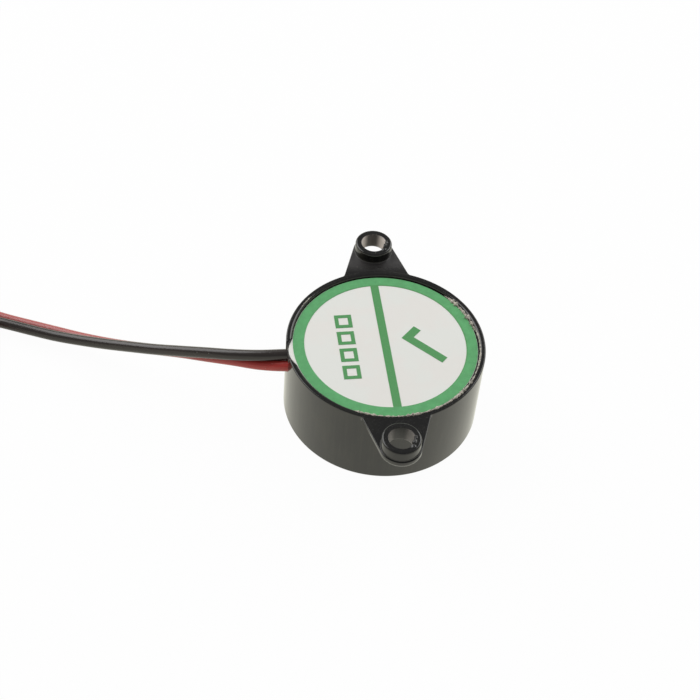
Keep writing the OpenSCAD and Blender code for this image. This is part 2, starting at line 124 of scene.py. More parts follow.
class BuzzerHousingSizes(bpy.types.PropertyGroup):
    """Sizes of the moulded housing"""

    body_h: length("Body height", "Height of the rim above the sound face", 10.4 * MM)
    face_t: length("Face thickness", "Thickness of the sound face", 1.2 * MM)
    chamber_r: length("Chamber radius", "Radius of the sound chamber", 9.1 * MM)
    sound_hole_r: length("Sound hole radius", "Radius of the hole in the sound face", 1.5 * MM)
    foot_round: length("Foot rounding", "Rounding of the body's lower edge", 0.3 * MM)
    rim_round: length("Rim rounding", "Rounding of the rim's outer edge", 0.14 * MM)
    bore_round: length("Bore rounding", "Rounding of the rim's inner edge", 0.3 * MM)
    ear_t: length("Ear thickness", "Thickness of the ears", 0.9 * MM)
    ear_sink: length("Ear sink", "How far an ear's top lies below the rim", 0.02 * MM)
    ear_slant: angle("Ear slant", "Slant of an ear's flanks", 18)
    ear_fillet: length("Ear fillet", "Fillet between an ear's flanks and the body", 0.6 * MM)
    ear_round: length("Ear rounding", "Rounding of an ear's upper edges", 0.08 * MM)
    ear_under_round: length("Ear under rounding", "Rounding of an ear's lower edges", 0.45 * MM)
    boss_r: length("Boss radius", "Radius of the raised boss around a hole", 2.2 * MM)
    boss_round: length("Boss rounding", "Rounding of a boss's outer edge", 0.24 * MM)
    boss_foot: length("Boss foot", "Fillet at the foot of a boss", 0.15 * MM)
    hole_round: length("Hole rounding", "Rounding of a hole's upper edge", 0.1 * MM)
    hole_under_round: length("Hole under rounding", "Rounding of a hole's lower edge", 0.35 * MM)
    slot_w: length("Slot width", "Width of the lead slot around each lead", 1.4 * MM)
    slot_mouth: length("Slot mouth", "Rounding of the lead slot's mouth at the rim", 0.5 * MM)
    slot_flare: length("Slot flare", "How far the slot widens on each side towards the label", 0.9 * MM)
    turn_steps: IntProperty(name="Turn steps", description="Facets around the body", default=240, min=48)


class BuzzerLabelSizes(bpy.types.PropertyGroup):
    """Sizes of the label and its print"""

    tab: length("Tab", "How far the label runs out into the lead slot", 0.5 * MM)
    tab_half: length("Tab half width", "Half the width of that tab", 2.05 * MM)
    tab_y: length("Tab place", "Middle of that tab along the ears' line", -0.83 * MM)
    edge_round: length("Edge rounding", "Rounding of the label's cut edge", 0.04 * MM)
    print_turn: angle("Print turn", "Turn of the print from the ears' line", 2.2)
    ring_margin: length("Ring margin", "Bare edge of the label around the printed ring", 0.05 * MM)
    ring_w: length("Ring width", "Width of the printed ring", 1.3 * MM)
    bar_w: length("Bar width", "Width of the printed bar across the ring", 0.95 * MM)
    mark_rise: length("Mark rise", "Distance of the printed marks from the bar", 4.4 * MM)
    tick_h: length("Tick height", "Height of the printed tick", 4.8 * MM)
    tick_stroke: length("Tick stroke", "Stroke of the printed tick", 1 * MM)
    box_side: length("Box side", "Side of the small printed boxes", 2 * MM)
    box_stroke: length("Box stroke", "Stroke of the small printed boxes", 0.45 * MM)
    box_pitch: length("Box pitch", "Distance between the small printed boxes", 2.6 * MM)


class BuzzerLeadSizes(bpy.types.PropertyGroup):
    """Sizes of the leads and their stored coil"""

    diameter: length("Lead diameter", "Outer diameter of a lead's insulation", 1.3 * MM)
    conductor_d: length("Conductor diameter", "Diameter of the bare twisted conductor", 0.6 * MM)
    tip_l: length("Tip length", "Bare length at a lead's free end", 4 * MM)
    root_x: length("Root", "Where the insulation starts inside the resin", -8.4 * MM)
    black_y: length("Black lead place", "Place of the black lead along the ears' line", -0.45 * MM)
    black_z: length("Black lead height", "Height of the black lead in the slot", 9.25 * MM)
    pair_pitch: length("Pair pitch", "Distance between both leads in the slot", 1.31 * MM)
    pair_slant: angle("Pair slant", "Slant of the line through both leads in the slot", 50)
    lead_l: length("Lead length", "Length of each lead", 100 * MM)
    coil_r: length("Coil radius", "Radius of the black lead's turn in the coil", 6.3 * MM)
    coil_pitch: length("Coil pitch", "Distance between neighbouring leads in the coil", 1.35 * MM)
    coil_climb: length("Coil climb", "Height of the coil's second turn above its first", 1.47 * MM)
    tie_t: length("Tie thickness", "Thickness of the band that ties the coil", 0.3 * MM)
    tie_w: length("Tie width", "Width of that band", 1.6 * MM)
    tie_angle: angle("Tie angle", "Where the band sits on the coil", 78)
    black_tip_angle: angle("Black tip angle", "Where the black lead leaves the coil", 115)
    red_tip_angle: angle("Red tip angle", "Where the red lead leaves the coil", 80)


class BuzzerColours(bpy.types.PropertyGroup):
    """Colours of the buzzer's finishes"""

    housing: colour("Housing", "Black moulded plastic", (0.009, 0.009, 0.0085))
    # Lighter tone inside the holes: partly scraped plastic, partly painted light. The housing's finish scales
    # it into painted highlights and painted shade.
    hole_scrape_and_painted_light: colour("Hole wall", "Scraped plastic inside the ears' holes", (0.1, 0.092, 0.084))
    housing_film: colour("Housing film", "Thin film of dust on the housing's walls", (0.018, 0.017, 0.012))
    resin: colour("Resin", "Black potting resin", (0.02, 0.019, 0.018))
    residue: colour("Residue", "Dried resin on the rim", (0.42, 0.39, 0.33))
    paper: colour("Label", "Label paper", (0.86, 0.855, 0.81))
    # Painted light for the top of the ear behind; a lighter copy of it also colours the scuff marks on all
    # tops.
    back_top_light_and_scuff: colour("Worn top", "Scuffed top of the ear behind", (0.045, 0.042, 0.041))
    ink: colour("Ink", "Printed green of the ring", (0.103, 0.4, 0.145))
    inner_ink: colour("Inner ink", "Deeper green of the bar and the marks", (0.082, 0.32, 0.1))
    black_lead: colour("Black lead", "Insulation of the black lead", (0.03, 0.023, 0.02))
    red_lead: colour("Red lead", "Insulation of the red lead", (0.54, 0.045, 0.036))
    # Painted sheen: this paler, pinker red stands for the highlight along the red lead's top away from the
    # housing.
    red_painted_sheen: colour("Faded red", "Paler red of that lead away from the housing", (0.44, 0.106, 0.1))
    blue_wire: colour("Blue wire", "Insulation of the feedback wire", (0.03, 0.1, 0.37))
    tin: colour("Tinned metal", "Tinned copper and solder", (0.62, 0.61, 0.58))
    brass: colour("Brass", "Rolled brass plate", (0.58, 0.36, 0.08))
    ceramic: colour("Ceramic", "Fired piezo ceramic", (0.69, 0.64, 0.52))
    silver: colour("Silver", "Fired silver film", (0.72, 0.72, 0.73))
    adhesive: colour("Adhesive", "Cured clear adhesive", (0.8, 0.79, 0.74))
    board: colour("Board", "Brown board laminate", (0.3, 0.18, 0.06))
    copper: colour("Copper", "Etched copper foil", (0.6, 0.25, 0.1))
    chip: colour("Chip", "Black chip body", (0.02, 0.02, 0.02))
    tie: colour("Tie", "Natural plastic band", (0.7, 0.7, 0.68))
    floor: colour("Floor", "Pale floor", (0.86, 0.86, 0.86))
    floor_mirrored: colour("Mirrored floor", "Pale floor as shiny surfaces show it", (1.0, 0.99, 0.87))


class BuzzerStage(bpy.types.PropertyGroup):
    """Camera and light"""

    azimuth: angle("Azimuth", "Camera's turn about the upright axis", -9.07)
    elevation: angle("Elevation", "Camera's angle above the floor", 48.17)
    roll: angle("Roll", "Camera's roll about its own axis", 5.21)
    distance: length("Distance", "Camera's distance from its aim", 179.4 * MM)
    aim: FloatVectorProperty(
        name="Aim",
        description="Point in the middle of the picture",
        default=(-3.34 * MM, 4.81 * MM, 3.78 * MM),
        precision=6,
        subtype="TRANSLATION",
        unit="LENGTH",
    )
    lens: FloatProperty(
        name="Lens", description="Focal length on a 36 mm sensor", default=76.93, unit="CAMERA"
    )
    world_level: factor("Sky level", "Brightness of the even light all round", 0.3)
    floor_glow: factor("Floor glow", "Share of plain white in the floor that the camera sees", 0.97)


# Shapes

def spoke(turn):
    """Direction at an angle in the floor's plane."""
    return Vector((math.cos(turn), math.sin(turn), 0))


def arc(middle, radius, start, end, steps):
    """Points of an arc in a plane, from one angle to another, ends included."""
    return [
        (middle[0] + radius * math.cos(a), middle[1] + radius * math.sin(a))
        for a in (start + (end - start) * i / steps for i in range(steps + 1))
    ]


def turned(profile, steps, y=0.0):
    """Rings of points: each point of a profile of radius and height goes round an upright axis."""
    turn = 2 * math.pi / steps
    return [
        [Vector((r * math.cos(turn * i), y + r * math.sin(turn * i), z)) for i in range(steps)]
        for r, z in profile
    ]


def upper_edge(soft, top, steps):
    """Insets and heights of a rounded upper edge, from below."""
    turns = [math.pi / 2 * i / steps for i in range(steps + 1)]
    return [(soft * (1 - math.cos(a)), top - soft * (1 - math.sin(a))) for a in turns]


def band_faces(low, high, count):
    """Faces between two rings of points, by the number of each ring's first point."""
    return [(low + k, low + (k + 1) % count, high + (k + 1) % count, high + k) for k in range(count)]


def skin(name, rings, wrap=False):
    """A closed piece over rings of points: its last ring joins its first, or both get a flat cap."""
    count = len(rings[0])
    vertices = [point for ring in rings for point in ring]
    faces = []
    for i in range(len(rings) if wrap else len(rings) - 1):
        faces += band_faces(i * count, (i + 1) % len(rings) * count, count)
    if not wrap:
        faces.append(tuple(reversed(range(count))))
        faces.append(tuple(range(len(vertices) - count, len(vertices))))
    return piece(name, vertices, faces)


def piece(name, vertices, faces):
    """A mesh object with its faces turned outwards."""
    mesh = bpy.data.meshes.new(name)
    mesh.from_pydata(vertices, [], faces)
    shape = bmesh.new()
    shape.from_mesh(mesh)
    bmesh.ops.recalc_face_normals(shape, faces=shape.faces)
    shape.to_mesh(mesh)
    shape.free()
    return placed(name, mesh)


def placed(name, data):
    """An object in the scene for a mesh or a curve."""
    made = bpy.data.objects.new(name, data)
    bpy.context.scene.collection.objects.link(made)
    return made


def final_mesh(made):
    """A new mesh of an object as it is with its modifiers or its curve's thickness."""
    bpy.context.view_layer.update()
    graph = bpy.context.evaluated_depsgraph_get()
    return bpy.data.meshes.new_from_object(made.evaluated_get(graph))


def combine(base, tool, operation):
    """Joins the tool to the base, or cuts the base with it."""
    change = base.modifiers.new("combine", "BOOLEAN")
    change.operation = operation
    change.solver = "EXACT"
    change.object = tool
    mesh = final_mesh(base)
    base.modifiers.clear()
    old = base.data
    base.data = mesh
    mesh.name = base.name
    bpy.data.meshes.remove(old)
    bpy.data.meshes.remove(tool.data)


def smooth(made, sharp_angle=32):
    """Smooth shading that keeps flat faces flat and true edges sharp."""
    made.data.shade_smooth()
    made.data.set_sharp_from_angle(angle=math.radians(sharp_angle))
    weigh = made.modifiers.new("even_shading", "WEIGHTED_NORMAL")
    weigh.keep_sharp = True
    weigh.weight = 100


def finish_piece(made, material):
    """Gives a piece its finish and its body."""
    made.data.materials.clear()
    made.data.materials.append(material)
    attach(made, BODY)
    return made


def curve_through(points, steps=6):
    """Points of a smooth curve through the given ones."""
    ends = [2 * points[0] - points[1], *points, 2 * points[-1] - points[-2]]
    smoothed = []
    for before, start, end, after in zip(ends, ends[1:], ends[2:], ends[3:]):
        slope = end - before
        bend = 2 * before - 5 * start + 4 * end - after
        twist = 3 * start - before - 3 * end + after
        for i in range(steps):
            t = i / steps
            smoothed.append(0.5 * (2 * start + slope * t + bend * t**2 + twist * t**3))
    return [*smoothed, points[-1]]


def coil_point(radius, angle_round, height):
    """Point on the stored coil."""
    return Vector((COIL_MIDDLE.x, COIL_MIDDLE.y, height)) + radius * spoke(angle_round)


def ease(t):
    """Smooth step from 0 to 1."""
    t = min(1.0, max(0.0, t))
    return t * t * (3 - 2 * t)


def lead_places(sizes):
    """Middles of the black and the red lead in the slot, as Y and Z."""
    black = Vector((sizes.black_y, sizes.black_z))
    red = black - sizes.pair_pitch * Vector((math.cos(sizes.pair_slant), math.sin(sizes.pair_slant)))
    return black, red


def lead_path(place, route, radius, leave_angle, sizes):
    """Centreline of a lead: out of the resin, along its route, round the coil and straight off it."""
    start = [Vector((x, *place)) for x in (sizes.root_x, -BODY_R)]
    route = [Vector(point) * MM for point in route]
    ahead = (route[-1] - route[-2]).normalized()
    enter_angle = math.atan2(ahead.y, ahead.x) - math.pi / 2
    low = sizes.tie_t + sizes.diameter / 2
    turned_by = (leave_angle - enter_angle) % (2 * math.pi) + 2 * math.pi
    steps = math.ceil(turned_by / math.radians(10))
    climb_start, climb_end = 0.72, 0.9
    coil = []
    for i in range(steps + 1):
        swept = turned_by * i / steps
        risen = ease((swept / (2 * math.pi) - climb_start) / (climb_end - climb_start))
        coil.append(coil_point(radius, enter_angle + swept, low + sizes.coil_climb * risen))
    off_l = math.sqrt((COIL_HIGH.x - COIL_MIDDLE.x) ** 2 - radius**2)
    off = spoke(leave_angle + math.pi / 2)
    tail = [coil[-1] + off * off_l * share for share in (0.5, 1.0)]
    return curve_through([*start, *route, *coil, *tail])


def cord_piece(name, points, diameter):
    """A round cord along its centreline."""
    curve = bpy.data.curves.new(name, "CURVE")
    curve.dimensions = "3D"
    line = curve.splines.new("POLY")
    line.points.add(len(points) - 1)
    for knot, point in zip(line.points, points):
        knot.co = (*point, 1.0)
    line.use_smooth = True
    curve.bevel_depth = diameter / 2
    curve.bevel_resolution = 6
    curve.use_fill_caps = True
    return placed(name, curve)


def bead(name, line, thickness, seed):
    """An uneven bead of dried stuff along a line of points, thin at both ends."""
    sides, taper_rate, plain_swell, least_swell = 10, 8, 0.55, 0.12
    swell_step, rough_step, side_step = 0.31, 0.7, 1.3
    rings = []
    for i, point in enumerate(line):
        ahead = (line[min(i + 1, len(line) - 1)] - line[max(i - 1, 0)]).normalized()
        side = ahead.cross(Vector((0, 0, 1))).normalized()
        up = side.cross(ahead)
        share = i / (len(line) - 1)
        taper = min(1.0, taper_rate * share, taper_rate * (1 - share)) + 0.02
        swell = plain_swell + 0.75 * noise.noise(Vector((swell_step * i, seed, 0.5)))
        ring = []
        for k in range(sides):
            a = 2 * math.pi * k / sides
            rough = 1 + 0.5 * noise.noise(Vector((rough_step * i, side_step * k, seed)))
            radius = thickness * taper * max(least_swell, swell) * rough
            ring.append(point + radius * (math.cos(a) * side + math.sin(a) * up))
        rings.append(ring)
    made = skin(name, rings)
    smooth(made, 60)
    return made


def lumps(name, places):
    """Small uneven lumps: each has a middle, a size along each axis, a turn and a seed."""
    shape = bmesh.new()
    for middle, size, turn, seed in places:
        made = bmesh.ops.create_icosphere(shape, subdivisions=3, radius=1.0)
        place = Matrix.Translation(middle) @ Matrix.Rotation(turn, 4, "Z") @ Matrix.Diagonal((*size, 1.0))
        for corner in made["verts"]:
            rough = 1 + 0.4 * noise.noise(1.6 * corner.co + Vector((seed, 0, 0)))
            corner.co = place @ (corner.co * rough)
    mesh = bpy.data.meshes.new(name)
    shape.to_mesh(mesh)
    shape.free()
    made = placed(name, mesh)
    smooth(made, 60)
    return made


# Shader maths

# Sockets of a Mix node when it mixes colours
MIX_FACTOR, MIX_A, MIX_B, MIX_RESULT = 0, 6, 7, 2


class Shade:
    """A socket of a material's nodes; arithmetic on it adds the nodes that do the sum."""

    def __init__(self, tree, socket):
        self.tree = tree
        self.socket = socket

    def node(self, kind, settings, sockets, output=0):
        """Any node: its settings are set first, then its sockets get their values or links."""
        made = self.tree.nodes.new(kind)
        for name, value in settings.items():
            setattr(made, name, value)
        for name, value in sockets.items():
            if isinstance(value, Shade):
                self.tree.links.new(value.socket, made.inputs[name])
            else:
                made.inputs[name].default_value = value
        return Shade(self.tree, made.outputs[output])

    def sum(self, operation, first, second):
        """One step of arithmetic."""
        return self.node("ShaderNodeMath", {"operation": operation}, {0: first, 1: second})

    def __add__(self, other):
        return self.sum("ADD", self, other)

    def __radd__(self, other):
        return self.sum("ADD", other, self)

    def __sub__(self, other):
        return self.sum("SUBTRACT", self, other)

    def __rsub__(self, other):
        return self.sum("SUBTRACT", other, self)

    def __mul__(self, other):
        return self.sum("MULTIPLY", self, other)

    def __rmul__(self, other):
        return self.sum("MULTIPLY", other, self)

    def most(self, other):
        """The larger of two values."""
        return self.sum("MAXIMUM", self, other)

    def unsigned(self):
        """This value without its sign."""
        return self.sum("ABSOLUTE", self, 0.0)

    def span(self, low, high):
        """0 below low, 1 above high and smooth between them."""
        sockets = {"Value": self, "From Min": low, "From Max": high}
        return self.node("ShaderNodeMapRange", {"interpolation_type": "SMOOTHSTEP"}, sockets)

    def blend(self, first, second):
        """Colour between two colours, by this value."""
        sockets = {MIX_FACTOR: self, MIX_A: as_colour(first), MIX_B: as_colour(second)}
        return self.node("ShaderNodeMix", {"data_type": "RGBA"}, sockets, output=MIX_RESULT)

    def stretched(self, x, y, z):
        """This vector times a number along each axis."""
        return self.node("ShaderNodeVectorMath", {"operation": "MULTIPLY"}, {0: self, 1: (x, y, z)})

    def grain(self, scale, detail=2.0, roughness=0.5):
        """Cloudy noise at this place, from 0 to 1."""
        sockets = {"Vector": self, "Scale": scale, "Detail": detail, "Roughness": roughness}
        return self.node("ShaderNodeTexNoise", {}, sockets)

    def cells(self, scale):
        """Distance to the nearest of scattered points at this place."""
        return self.node("ShaderNodeTexVoronoi", {}, {"Vector": self, "Scale": scale})

    def part(self, axis):
        """One part of a vector."""
        return self.node("ShaderNodeSeparateXYZ", {}, {"Vector": self}, output="XYZ".index(axis))

    def off_axis(self, x, y):
        """Distance of this place from an upright axis and from its mirror images about the middle."""
        flat = self.stretched(1.0, 1.0, 0.0)
        folded = self.node("ShaderNodeVectorMath", {"operation": "ABSOLUTE"}, {0: flat})
        sockets = {0: folded, 1: (x, y, 0.0)}
        return self.node("ShaderNodeVectorMath", {"operation": "DISTANCE"}, sockets, output="Value")

    def bump(self, depth):
        """Normal of a surface that this height roughens, to the given depth in metres."""
        return self.node("ShaderNodeBump", {}, {"Height": self, "Distance": depth, "Strength": 1.0})


def as_colour(value):
    """A colour with its fourth number, or a link as it is."""
    return value if isinstance(value, Shade) else (*value[:3], 1.0)


def tinted(base, amount):
    """The base colour made darker or lighter."""
    return tuple(min(1.0, part * amount) for part in base[:3])


def new_material(name, constants):
    """A material and the place on the part in millimetres."""
    material = bpy.data.materials.new(name)
    material.use_nodes = True
    for socket, value in constants.items():
        material.node_tree.nodes["Principled BSDF"].inputs[socket].default_value = value
    start = Shade(material.node_tree, None)
    place = start.node("ShaderNodeTexCoord", {}, {}, output="Object")
    return material, place.stretched(1 / MM, 1 / MM, 1 / MM)


def dressed(material, base, rough, height, depth):
    """Joins a material's colour, roughness and bumps to its shader."""
    tree = material.node_tree
    inputs = tree.nodes["Principled BSDF"].inputs
    for name, value in (("Base Color", base), ("Roughness", rough), ("Normal", height.bump(depth))):
        tree.links.new(value.socket, inputs[name])
    return material


# Finishes

def housing_plastic(colours):
    """Glossy black plastic: draw marks on its walls, scuffs and dust on top, painted shade on its upward
    faces, a painted lighter top on the ear behind, and scraped plastic with painted highlights and painted
    shade in the ears' holes.
    """
    material, place = new_material("housing_plastic", {"IOR": 1.54})
    normal = place.node("ShaderNodeNewGeometry", {}, {}, output="Normal")
    up = normal.part("Z").span(0.5, 0.9)
    back_ear = place.part("Y").span(11.0, 13.0)
    on_boss = place.part("Z").span(10.9, 11.4)
    # Painted light: the top of the ear behind, off its boss, gets a lighter tone; it is also made rougher.
    back_ear_painted_light = back_ear * (1.0 - on_boss) * up
    clouds = place.stretched(1.0, 1.0, 0.6).grain(0.4, 3.0)
    peel = place.grain(1.6, 3.0)
    draws = place.stretched(2.6, 2.6, 0.12).grain(1.0, 3.0)
    film = (clouds * 0.6 + draws * 0.4).span(0.42, 0.62)
    scuffs = place.stretched(1.0, 3.2, 1.0).grain(2.6, 5.0, 0.7).span(0.58, 0.74) * up
    dust = (1.0 - place.cells(1.3).span(0.05, 0.09)) * place.grain(0.5, 2.0).span(0.5, 0.6) * up
    colour_mix = film.blend(tinted(colours.housing, 0.7), colours.housing_film)
    # Painted shade: faces that look upwards are darkened to a deeper copy of the housing's colour.
    colour_mix = (up * 0.8).blend(colour_mix, tinted(colours.housing, 0.4))
    colour_mix = back_ear_painted_light.blend(colour_mix, colours.back_top_light_and_scuff)
    # Inside the holes, painted light: walls facing sideways get painted highlights for reflections of the
    # bright floor, the middle of the front hole's wall gets painted shade, and the back hole is painted
    # lighter than the front one.
    hole_r = HOLE_R / MM
    in_hole = (1.0 - place.off_axis(0.0, HOLE_Y / MM).span(hole_r + 0.05, hole_r + 0.2)) * (1.0 - up)
    sideways_highlight_mask = normal.part("X").unsigned().span(0.3, 0.8)
    behind = place.part("Y").span(-1.0, 1.0)
    front_hole_light_and_shade = sideways_highlight_mask.blend(tinted(colours.hole_scrape_and_painted_light, 0.1), tinted(colours.hole_scrape_and_painted_light, 2.4))
    back_hole_light_and_shade = sideways_highlight_mask.blend(colours.hole_scrape_and_painted_light, tinted(colours.hole_scrape_and_painted_light, 8.5))
    hole_painted_light_tone = behind.blend(front_hole_light_and_shade, back_hole_light_and_shade)
    colour_mix = in_hole.blend(colour_mix, hole_painted_light_tone)
    colour_mix = (scuffs * 0.4).blend(colour_mix, tinted(colours.back_top_light_and_scuff, 1.8))
    colour_mix = (dust * 0.5).blend(colour_mix, colours.residue)
    rough = 0.05 + film * 0.05 + draws * 0.04 + up * 0.08
    rough = rough + back_ear_painted_light * 0.2 + scuffs * 0.2 + dust * 0.2 + in_hole * 0.4
    return dressed(material, colour_mix, rough, peel * 0.35 + draws * 0.6 + scuffs * 0.3, 0.01 * MM)


def potting(colours):
    """Black resin that has dried rough and brownish where it shows at the lead slot."""
    material, place = new_material("resin_black", {"IOR": 1.5})
    clouds = place.grain(1.1, 4.0, 0.6)
    fine = place.grain(4.5, 4.0, 0.7)
    slot_x = -RIM_BORE_R / MM
    at_slot = 1.0 - place.part("X").span(slot_x - 0.1, slot_x + 0.3)
    dried = (clouds * 0.5 + fine * 0.5).span(0.46, 0.62) * at_slot
    colour_mix = clouds.blend(tinted(colours.resin, 0.7), tinted(colours.resin, 1.4))
    colour_mix = (dried * 0.6).blend(colour_mix, colours.residue)
    rough = 0.26 + dried * 0.4 + fine * 0.1
    return dressed(material, colour_mix, rough, clouds + fine * 0.5, 0.05 * MM)


def dried_residue(colours):
    """Resin and paste that have dried grey and cream on the rim."""
    material, place = new_material("dried_residue", {"IOR": 1.48})
    patches = place.grain(2.4, 4.0, 0.65)
    fine = place.grain(8.0, 3.0, 0.7)
    colour_mix = patches.span(0.4, 0.52).blend(tinted(colours.residue, 0.3), tinted(colours.residue, 1.2))
    colour_mix = (fine.span(0.52, 0.62) * 0.9).blend(colour_mix, tinted(colours.residue, 1.8))
    return dressed(material, colour_mix, 0.4 + fine * 0.4, patches + fine, 0.04 * MM)


def insulation(name, base, sheen_colour=None):
    """Soft plastic insulation, a little uneven in colour and gloss, with a few specks of dust and, if given,
    a painted sheen that pales it away from the housing.
    """
    full_sheen_x, no_sheen_x, dust_tone = -32.0, -13.0, (0.5, 0.48, 0.44)
    material, place = new_material(name, {"IOR": 1.5})
    clouds = place.grain(0.6, 3.0)
    fine = place.grain(6.0, 3.0)
    colour_mix = clouds.blend(tinted(base, 0.82), tinted(base, 1.18))
    # Painted sheen: away from the housing the colour turns to the given paler tone, which stands for a
    # highlight.
    if sheen_colour is not None:
        colour_mix = place.part("X").span(full_sheen_x, no_sheen_x).blend(sheen_colour, colour_mix)
    dust = (1.0 - place.cells(1.7).span(0.06, 0.1)) * place.grain(0.7, 2.0).span(0.5, 0.6)
    colour_mix = (dust * 0.4).blend(colour_mix, dust_tone)
    return dressed(material, colour_mix, 0.18 + fine * 0.12 + dust * 0.3, fine + clouds, 0.01 * MM)


def label_paper(colours):
    """Smooth white label paper with a faint tone and fine fibres."""
    material, place = new_material("label_paper", {"IOR": 1.45})
    tone = place.grain(0.25, 2.0)
    fibres = place.stretched(1.0, 2.6, 1.0).grain(5.0, 4.0)
    base = colours.paper
    warm = (base[0], base[1] * 0.985, base[2] * 0.985)
    cool = (base[0] * 0.985, base[1], base[2])
    colour_mix = tone.span(0.4, 0.6).blend(warm, cool)
    colour_mix = (fibres.span(0.45, 0.75) * 0.1).blend(colour_mix, tinted(base, 0.9))
    return dressed(material, colour_mix, 0.42 + fibres * 0.16, fibres + tone * 2.0, 0.008 * MM)


def green_ink(colours):
    """Printed green with slightly uneven cover, deeper inside the ring."""
    inside_r, ring_r = 9.3, 9.5
    material, place = new_material("green_ink", {"IOR": 1.45})
    cover = place.grain(1.2, 4.0, 0.6)
    fine = place.grain(9.0, 2.0)
    colour_mix = cover.span(0.3, 0.7).blend(tinted(colours.ink, 0.92), tinted(colours.ink, 1.08))
    colour_mix = place.off_axis(0.0, 0.0).span(inside_r, ring_r).blend(colours.inner_ink, colour_mix)
    colour_mix = (fine.span(0.55, 0.8) * 0.12).blend(colour_mix, colours.paper)
    return dressed(material, colour_mix, 0.4 + fine * 0.14, fine, 0.004 * MM)


def metal(name, base, rough, streaks):
    """Metal with fine streaks along one direction and a little tarnish."""
    material, place = new_material(name, {"Metallic": 1.0})
    lines = place.stretched(*streaks).grain(2.0, 4.0)
    clouds = place.grain(0.7, 3.0)
    colour_mix = clouds.blend(tinted(base, 0.82), tinted(base, 1.08))
    return dressed(material, colour_mix, rough - 0.08 + lines * 0.12 + clouds * 0.06, lines, 0.006 * MM)


def mineral(name, base, rough, scale, depth):
    """Dull speckled stuff, such as ceramic, laminate, a chip's body or cured resin."""
    material, place = new_material(name, {"IOR": 1.5})
    specks = place.grain(scale, 4.0, 0.65)
    clouds = place.grain(scale * 0.15, 2.0)
    colour_mix = specks.span(0.35, 0.7).blend(tinted(base, 0.8), tinted(base, 1.15))
    return dressed(material, colour_mix, rough - 0.06 + specks * 0.08 + clouds * 0.06, specks + clouds, depth)


# Operators

class BUZZER_OT_stage(bpy.types.Operator):
    """Sets up the camera, the pale floor and soft studio light"""

    bl_idname = "buzzer.stage"
    bl_label = "Stage"

    def execute(self, context):
        stage = context.scene.buzzer_stage
        colours = context.scene.buzzer_colours
        self.add_camera(context, stage)
        self.add_floor(stage, colours)
        self.add_sky(context, stage)
        self.add_lamp("left_lamp", place=(-0.35, 0.35, 0.42), size=0.6, power=2.75)
        self.add_lamp("right_lamp", place=(0.4, 0.33, 0.4), size=0.45, power=1.6)
        context.scene.view_settings.view_transform = "Standard"
        return {"FINISHED"}

    def add_camera(self, context, stage):
        sin_a, cos_a = math.sin(stage.azimuth), math.cos(stage.azimuth)
        sin_e, cos_e = math.sin(stage.elevation), math.cos(stage.elevation)
        right = Vector((cos_a, sin_a, 0))
        up = Vector((-sin_a * sin_e, cos_a * sin_e, cos_e))
        back = right.cross(up)
        turn = Matrix((right, up, back)).transposed().to_4x4() @ Matrix.Rotation(stage.roll, 4, "Z")
        data = bpy.data.cameras.new("camera")
        data.sensor_width = 36.0
        data.lens = stage.lens
        data.clip_start = 0.01
        camera = placed("camera", data)
        camera.matrix_world = Matrix.Translation(Vector(stage.aim) + back * stage.distance) @ turn
        context.scene.camera = camera

    def add_floor(self, stage, colours):
        """A floor that curves up all round, far behind the part."""
        flat_r, rise_r, drop, steps = 0.9, 0.45, 0.02 * MM, 96
        profile = arc((flat_r, rise_r - drop), rise_r, -math.pi / 2, 0, 16)
        rings = turned(profile, steps)
        faces = [tuple(range(steps))]
        for i in range(len(rings) - 1):
            faces += band_faces(i * steps, (i + 1) * steps, steps)
        floor = piece("floor", [point for ring in rings for point in ring], faces)
        material = bpy.data.materials.new("pale_floor")
        material.use_nodes = True
        tree = material.node_tree
        tree.nodes.clear()
        start = Shade(tree, None)
        path = start.node("ShaderNodeLightPath", {}, {})
        rays = path.socket.node.outputs
        mirrored = Shade(tree, rays["Is Glossy Ray"])
        seen = Shade(tree, rays["Is Camera Ray"]).most(mirrored)
        seen = seen.most(Shade(tree, rays["Is Transmission Ray"]))
        dull = start.node("ShaderNodeBsdfDiffuse", {}, {"Color": as_colour(colours.floor)})
        tone = mirrored.blend((1.0, 1.0, 1.0), colours.floor_mirrored)
        white = start.node("ShaderNodeEmission", {}, {"Color": tone, "Strength": 1.0})
        mixed = start.node("ShaderNodeMixShader", {}, {0: seen * stage.floor_glow, 1: dull, 2: white})
        output = tree.nodes.new("ShaderNodeOutputMaterial")
        tree.links.new(mixed.socket, output.inputs["Surface"])
        floor.data.materials.append(material)

    def add_sky(self, context, stage):
        world = bpy.data.worlds.new("even_sky")
        context.scene.world = world
        world.use_nodes = True
        tree = world.node_tree
        start = Shade(tree, None)
        path = start.node("ShaderNodeLightPath", {}, {})
        camera_ray = Shade(tree, path.socket.node.outputs["Is Camera Ray"])
        level = camera_ray * (1.0 - stage.world_level) + stage.world_level
        background = tree.nodes["Background"]
        background.inputs["Color"].default_value = (1.0, 1.0, 1.0, 1.0)
        tree.links.new(level.socket, background.inputs["Strength"])

    def add_lamp(self, name, place, size, power):
        data = bpy.data.lights.new(name, "AREA")
        data.shape = "DISK"
        data.size = size
        data.energy = power
        lamp = placed(name, data)
        lamp.location = place
        lamp.rotation_mode = "QUATERNION"
        lamp.rotation_quaternion = (-Vector(place)).to_track_quat("-Z", "Y")


